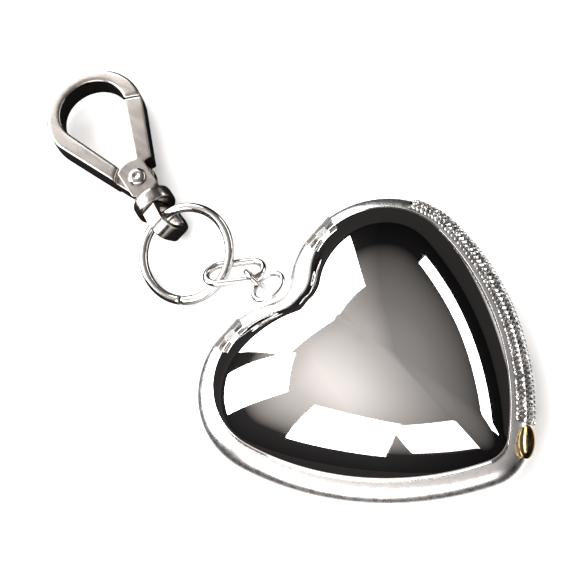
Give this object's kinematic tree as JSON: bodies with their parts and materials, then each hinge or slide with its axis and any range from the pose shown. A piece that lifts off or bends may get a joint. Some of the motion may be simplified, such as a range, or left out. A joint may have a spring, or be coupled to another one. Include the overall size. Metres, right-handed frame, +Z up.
{
  "type": "heart trinket box with snap hook",
  "caption": "Puffed heart-shaped metal trinket box with a hinged lid, a push catch, a stone-set shoulder, a short chain and a swivel snap hook.",
  "frame": {"origin": "centre of the flat patch that the heart rests on", "axes": "+Z up through the lid, -Y towards the heart's tip, +Y towards its cleft and along the chain, +X towards the stone-set side"},
  "size_m": [0.0614, 0.1252, 0.0232],
  "materials": {
    "soft_polish": "soft satin polish",
    "mirror_metal": "mirror polish",
    "nickel_wire": "bright nickel",
    "satin_metal": "satin nickel",
    "gold_metal": "polished",
    "stones": "small faceted clear stones in a bright strip",
    "velvet": "short-pile velvet",
    "inner_steel": "plain steel"
  },
  "bodies": {
    "base": {"base_shell": "soft_polish", "base_rim": "mirror_metal", "stone_strip": "stones", "base_lining": "velvet", "hinge_base_knuckles": "soft_polish", "hinge_pins": "inner_steel", "catch_guide": "inner_steel", "catch_spring": "inner_steel", "bail": "nickel_wire"},
    "lid": {"lid_shell": "mirror_metal", "lid_rim": "mirror_metal", "lid_lip": "mirror_metal", "lid_lining": "velvet", "hinge_lid_knuckles": "soft_polish"},
    "catch": {"catch_button": "gold_metal"},
    "small_ring": {"small_ring": "nickel_wire"},
    "joining_link": {"joining_link": "nickel_wire"},
    "oval_link": {"oval_link": "nickel_wire"},
    "key_ring": {"key_ring": "nickel_wire"},
    "eye": {"swivel_eye": "satin_metal", "swivel_post": "inner_steel"},
    "hook": {"hook_body": "satin_metal", "gate_rivet": "satin_metal", "gate_spring": "inner_steel"},
    "gate": {"gate": "satin_metal"}
  },
  "joints": [
    {"name": "lid_hinge", "type": "hinge", "parent": "base", "child": "lid", "pos_m": [0, 0.0266, 0.0124], "axis": [-1, 0, 0], "range_deg": [0, 100]},
    {"name": "catch_press", "type": "slide", "parent": "base", "child": "catch", "axis": [-0.3755, 0.5992, -0.7071], "range_m": [0, 0.0003], "stiffness_N_per_m": 150, "springref_m": -0.0005, "deforming": ["catch_spring"]},
    {"name": "small_ring_swing", "type": "hinge", "parent": "base", "child": "small_ring", "pos_m": [0.0002, 0.02618, 0.00876], "axis": [0.9914, 0.114, -0.0642], "range_deg": [-25, 20]},
    {"name": "joining_link_swing", "type": "hinge", "parent": "small_ring", "child": "joining_link", "pos_m": [-0.00063, 0.03032, 0.00573], "axis": [0.2254, -0.1286, -0.9657], "range_deg": [-15, 15]},
    {"name": "oval_link_swing", "type": "hinge", "parent": "joining_link", "child": "oval_link", "pos_m": [-0.00005, 0.03331, 0.00491], "axis": [-0.8961, 0.417, 0.1518], "range_deg": [-12, 12]},
    {"name": "key_ring_swing", "type": "hinge", "parent": "oval_link", "child": "key_ring", "pos_m": [-0.00248, 0.03929, 0.00376], "axis": [0.9301, 0.1483, 0.336], "range_deg": [-12, 12]},
    {"name": "eye_swing", "type": "hinge", "parent": "key_ring", "child": "eye", "pos_m": [-0.0011, 0.05678, 0.00536], "axis": [0.8906, -0.3502, 0.2903], "range_deg": [-10, 40]},
    {"name": "hook_swivel", "type": "hinge", "parent": "eye", "child": "hook", "pos_m": [0.00011, 0.06069, 0.00421], "axis": [0.2924, 0.9563, 0], "continuous": true},
    {"name": "gate_hinge", "type": "hinge", "parent": "hook", "child": "gate", "pos_m": [0.00189, 0.06653, 0.00421], "axis": [0, 0, 1], "range_deg": [0, 22], "stiffness_Nm_per_rad": 0.01, "springref_deg": -11.46}
  ]
}
